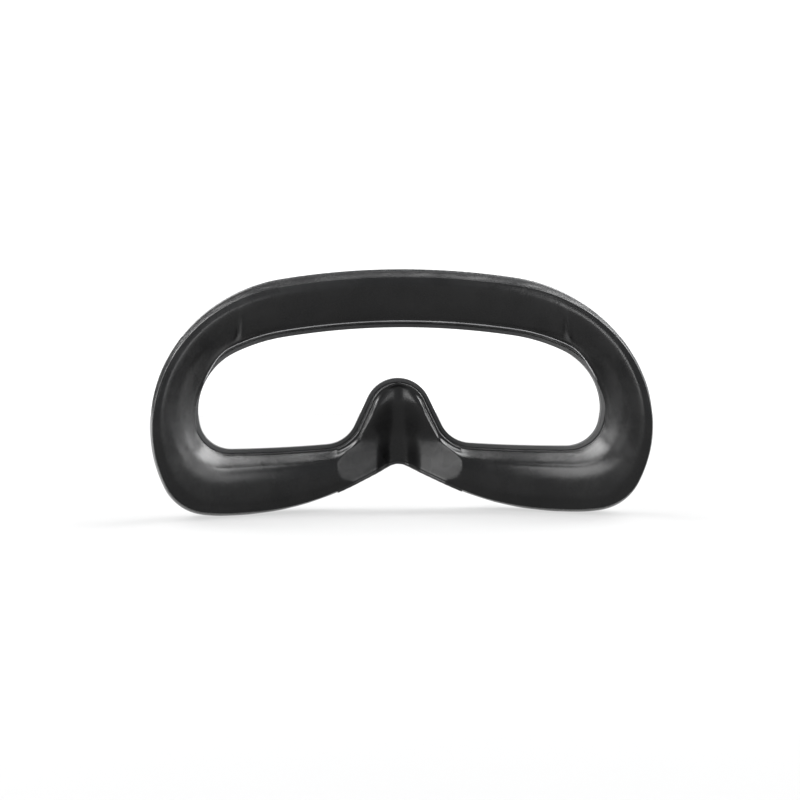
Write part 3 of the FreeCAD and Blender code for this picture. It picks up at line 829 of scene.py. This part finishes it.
layer_ring("loop_layer", ring_pairs("base", -3.0, 3.0, 150), loop_profile, loop_cloth,
           "cushion", "loop_fabric", "loop_backing")
layer_ring("eye_seal", ring_pairs("opening", 3.5, 1.0, 150), seal_profile, seal_foam,
           "carrier", "seal_foam", "light_seal")


def hook_tape():
    """Patches of hook tape: a woven base with rows of small blunt hooks."""
    verts, faces, patches = [], [], []
    half_straight, radius, base_top, tape_top = 8.5, 3.45, 0.26, 0.32
    inner = Outline("opening")
    for part in (0, 0.3, 0.58, 0.9):
        edge, heading = OUTER.at(part * UNDER)
        middle = (np.array(edge) + np.array(inner.at_heading(heading)[0])) / 2
        for side in (1, -1) if part else (1,):
            patches.append((np.array([side * middle[0], middle[1]]), side * heading))

    def add_point(x, z, height):
        verts.append((x * MM, float(layer_y(x) - height) * MM, z * MM))
        return len(verts) - 1

    def stud(centre, radii_heights, sides):
        rings = []
        for radius, height in radii_heights:
            rings.append([add_point(centre[0] + radius * math.cos(math.tau * n / sides),
                                    centre[1] + radius * math.sin(math.tau * n / sides), height)
                          for n in range(sides)])
        for low, high in zip(rings, rings[1:]):
            for n in range(sides):
                faces.append((low[n], low[(n + 1) % sides], high[(n + 1) % sides], high[n]))
        faces.append(tuple(rings[-1]))
        faces.append(tuple(rings[0][::-1]))

    for centre, heading in patches:
        along = np.array([math.cos(heading), math.sin(heading)])
        over = np.array([-along[1], along[0]])
        outline = []
        for end in (1, -1):
            for n in range(13):
                angle = math.pi / 2 - math.pi * n / 12
                outline.append(centre + end * (along * (half_straight + radius * math.cos(angle))
                                               + over * radius * math.sin(angle)))
        low = [add_point(p[0], p[1], 0.02) for p in outline]
        high = [add_point(p[0], p[1], base_top) for p in outline]
        inset = [add_point(*(centre + (p - centre) * 0.98), tape_top) for p in outline]
        for first, second in ((low, high), (high, inset)):
            for n in range(len(outline)):
                m = (n + 1) % len(outline)
                faces.append((first[n], first[m], second[m], second[n]))
        faces.append(tuple(inset))
        faces.append(tuple(low[::-1]))
        for row in range(-2, 3):
            for step in range(-8, 9):
                spot = centre + along * step * 1.25 + over * row * 1.2
                stud(spot, [(0.16, 0.33), (0.14, 0.5), (0.27, 0.56), (0.2, 0.66)], 6)
    mesh = bpy.data.meshes.new("hook_tape")
    mesh.from_pydata(verts, [], faces)
    return place("hook_tape", mesh, hook_cloth, "carrier", "hook_tape", ["hook_patches"])


hooks = hook_tape()

for node, material in [("carrier_frame", carrier_plastic), ("backing_board", board_plastic)] + [
        (f"latch_{row}_{side}", latch_plastic) for row in ("upper", "lower")
        for side in ("left", "right")]:
    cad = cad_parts[node]
    if not cad.material_slots:
        cad.data.materials.append(material)
    for slot in cad.material_slots:
        slot.material = material


# ---------------------------------------------------------------- camera, floor and light

scene = bpy.context.scene
scene.view_settings.view_transform = "Standard"

DISTANCE = 700.0
YAW, RISE, ROLL = (math.radians(angle) for angle in (2.52, 3.2, -0.39))
SENSOR = 36
LENS = 93.2445
AIM_RIGHT, AIM_DOWN = 0.10135, 1.74315
target = Vector((0, INTERFACE_Y - 15, 40))
back = Vector((-math.sin(YAW) * math.cos(RISE), -math.cos(YAW) * math.cos(RISE),
               math.sin(RISE)))
right = (-back).cross(Vector((0, 0, 1))).normalized()
up = right.cross(-back)
right, up = (right * math.cos(ROLL) + up * math.sin(ROLL),
             up * math.cos(ROLL) - right * math.sin(ROLL))
aim = target + right * AIM_RIGHT - up * AIM_DOWN
eye = aim + back * DISTANCE
camera_data = bpy.data.cameras.new("camera")
camera_data.sensor_width = SENSOR
camera_data.lens = LENS
camera_data.clip_start = 0.02
camera = bpy.data.objects.new("camera", camera_data)
scene.collection.objects.link(camera)
turn = Matrix((right, up, back)).transposed().to_4x4()
camera.matrix_world = Matrix.Translation(eye * MM) @ turn
scene.camera = camera


# Lengths are in metres from here on.
FLOOR_RADIUS = 0.55
BACKDROP_RADIUS = 1.5
FLOOR_GLOW = 0.62
FAR_FLOOR_GLOW = 1.0
BACKDROP_GLOW = 1.2
UNDER_FLOOR = 0.00006
BACKDROP_CURVE = [(BACKDROP_RADIUS, 0.0), (1.6, 0.03), (1.67, 0.1), (1.7, 0.2), (1.7, 2.6)]
# Softboxes: name, azimuth and height angle, distance, width, height and radiance.
SOFTBOXES = [
    ("softbox_left", -62, 26, 1.0, 0.62, 0.75, 13.0),
    ("softbox_right", 88, 28, 1.0, 0.70, 0.90, 7.5),
    ("softbox_right_front", 57, 14, 1.0, 0.3, 0.3, 7.0),
    ("softbox_back_left", -122, 48, 1.0, 0.75, 0.95, 13.0),
    ("softbox_back_right", 122, 48, 1.0, 0.75, 0.95, 13.0),
    ("softbox_low_left", -115, 10, 1.2, 0.9, 0.3, 5.0),
    ("softbox_low_right", 115, 10, 1.2, 0.9, 0.3, 5.0),
]
# Surroundings: their level, its change to the right and to the back, and the least.
WORLD_LEVEL, WORLD_RIGHT, WORLD_BEHIND, WORLD_LEAST = 0.55, 0.6, -0.36, 0.08


def stage_material(name, glow):
    """White paper, evenly lit from within as well as by the lamps."""
    nodes = Nodes(name)
    cloud = nodes.noise(0.5, 2.0)
    colour = nodes.colours(cloud, [0.07] * 3, [0.075] * 3)
    nodes.finish(colour, nodes.remap(cloud, 0, 1, 0.9, 0.95), nodes.bump(cloud, 0.00001, 0.1), 0.1)
    nodes.shader.inputs["Emission Color"].default_value = (1, 1, 1, 1)
    nodes.shader.inputs["Emission Strength"].default_value = glow
    return nodes.material


def paper(name, path, glow):
    """White paper all round the object, along a path of (radius, height) points."""
    sides = 96
    verts = [(radius * math.cos(math.tau * n / sides), radius * math.sin(math.tau * n / sides), z)
             for radius, z in path for n in range(sides)]
    faces = [tuple(range(sides))] if len(path) == 1 else [
        (row * sides + n, row * sides + (n + 1) % sides,
         (row + 1) * sides + (n + 1) % sides, (row + 1) * sides + n)
        for row in range(len(path) - 1) for n in range(sides)]
    mesh = bpy.data.meshes.new(name)
    mesh.from_pydata(verts, [], faces)
    mesh.materials.append(stage_material(name, glow))
    sheet = bpy.data.objects.new(name, mesh)
    sheet.location.z = -UNDER_FLOOR
    scene.collection.objects.link(sheet)
    return sheet


def softbox(name, azimuth, height_angle, distance, width, height, radiance):
    """A rectangular softbox facing the object, placed by its angles from the camera's side."""
    turn, rise = math.radians(azimuth), math.radians(height_angle)
    toward = Vector((math.sin(turn) * math.cos(rise), -math.cos(turn) * math.cos(rise),
                     math.sin(rise)))
    light = bpy.data.lights.new(name, "AREA")
    light.shape = "RECTANGLE"
    light.size, light.size_y = width, height
    light.energy = radiance * math.pi * width * height
    lamp = bpy.data.objects.new(name, light)
    lamp.location = Vector((0, 0, 0.04)) + toward * distance
    lamp.rotation_euler = (-toward).to_track_quat("-Z", "Y").to_euler()
    scene.collection.objects.link(lamp)


paper("stage_floor", [(FLOOR_RADIUS, 0.0)], FLOOR_GLOW)
paper("stage_floor_far", [(FLOOR_RADIUS, 0.0), (BACKDROP_RADIUS, 0.0)], FAR_FLOOR_GLOW)
backdrop = paper("stage_backdrop", BACKDROP_CURVE, BACKDROP_GLOW)
backdrop.visible_glossy = False
backdrop.visible_diffuse = False
for row in SOFTBOXES:
    softbox(*row)


def studio():
    """Dim surroundings: a little brighter in front and to the right."""
    world = bpy.data.worlds.new("studio")
    world.use_nodes = True
    tree = world.node_tree
    place = tree.nodes.new("ShaderNodeTexCoord")
    parts = tree.nodes.new("ShaderNodeSeparateXYZ")
    tree.links.new(place.outputs["Generated"], parts.inputs[0])

    def maths(operation, first, *others):
        node = tree.nodes.new("ShaderNodeMath")
        node.operation = operation
        tree.links.new(first, node.inputs[0])
        for socket, value in zip(node.inputs[1:], others):
            if isinstance(value, float):
                socket.default_value = value
            else:
                tree.links.new(value, socket)
        return node.outputs[0]

    level = maths("MULTIPLY_ADD", parts.outputs["X"], WORLD_RIGHT, WORLD_LEVEL)
    level = maths("MULTIPLY_ADD", parts.outputs["Y"], WORLD_BEHIND, level)
    level = maths("MAXIMUM", level, WORLD_LEAST)
    tree.links.new(level, tree.nodes["Background"].inputs["Strength"])
    tree.nodes["Background"].inputs["Color"].default_value = (0.95, 0.97, 1.0, 1)
    return world


scene.world = studio()
